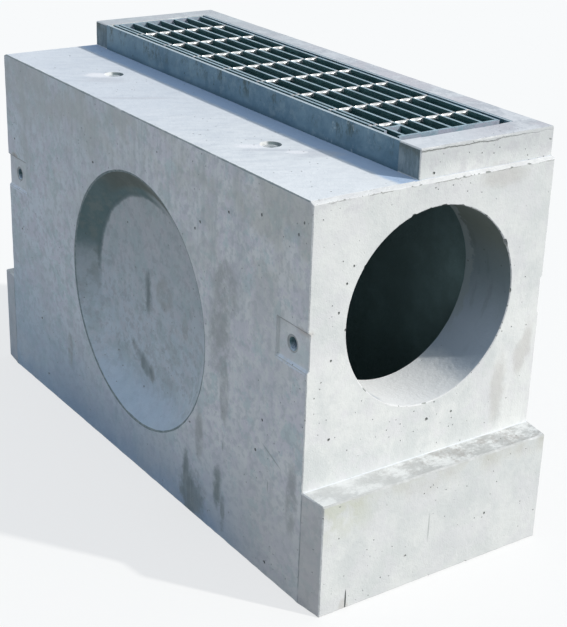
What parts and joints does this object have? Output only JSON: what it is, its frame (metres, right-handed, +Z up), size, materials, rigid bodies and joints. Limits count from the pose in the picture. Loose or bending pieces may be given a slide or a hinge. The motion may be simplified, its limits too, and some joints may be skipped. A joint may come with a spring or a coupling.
{
  "type": "precast concrete catch basin",
  "caption": "Precast concrete road catch basin: a long box on end feet, with round pipe holes, a knock-out recess and a raised collar that holds a lift-out steel bar grating.",
  "frame": {"origin": "middle of the underside, on the ground", "axes": "+X along the basin towards the end where the grating has its lock plate, -Y towards the front wall below the deck, +Z up"},
  "size_m": [1.096, 0.45, 0.686],
  "materials": {
    "concrete": "cast concrete, matte, with bug holes and damp stains",
    "galvanised_steel": "hot-dip galvanised, weathered",
    "zinc_plate": "zinc-plated, dull"
  },
  "bodies": {
    "casting": {"base_slab": "concrete", "front_wall": "concrete", "back_wall": "concrete", "near_end_wall": "concrete", "far_end_wall": "concrete", "near_foot": "concrete", "far_foot": "concrete", "deck_slab": "concrete", "near_top_slab": "concrete", "far_top_slab": "concrete", "back_top_slab": "concrete", "near_collar": "concrete", "far_collar": "concrete", "back_collar": "concrete", "front_rail": "galvanised_steel", "back_rail": "galvanised_steel", "near_lift_socket": "zinc_plate", "far_lift_socket": "zinc_plate", "front_near_socket": "zinc_plate", "front_far_socket": "zinc_plate", "back_near_socket": "zinc_plate", "back_far_socket": "zinc_plate"},
    "grating": {"front_side_bar": "galvanised_steel", "bearing_bar_1": "galvanised_steel", "bearing_bar_2": "galvanised_steel", "bearing_bar_3": "galvanised_steel", "bearing_bar_4": "galvanised_steel", "bearing_bar_5": "galvanised_steel", "bearing_bar_6": "galvanised_steel", "back_side_bar": "galvanised_steel", "near_end_bar": "galvanised_steel", "far_end_bar": "galvanised_steel", "cross_rod_1": "galvanised_steel", "cross_rod_2": "galvanised_steel", "cross_rod_3": "galvanised_steel", "cross_rod_4": "galvanised_steel", "cross_rod_5": "galvanised_steel", "cross_rod_6": "galvanised_steel", "cross_rod_7": "galvanised_steel", "cross_rod_8": "galvanised_steel", "lock_plate": "galvanised_steel"}
  },
  "joints": [
    {"name": "grating_lift", "type": "slide", "parent": "casting", "child": "grating", "axis": [0, 0, 1], "range_m": [0, 0.15]}
  ]
}
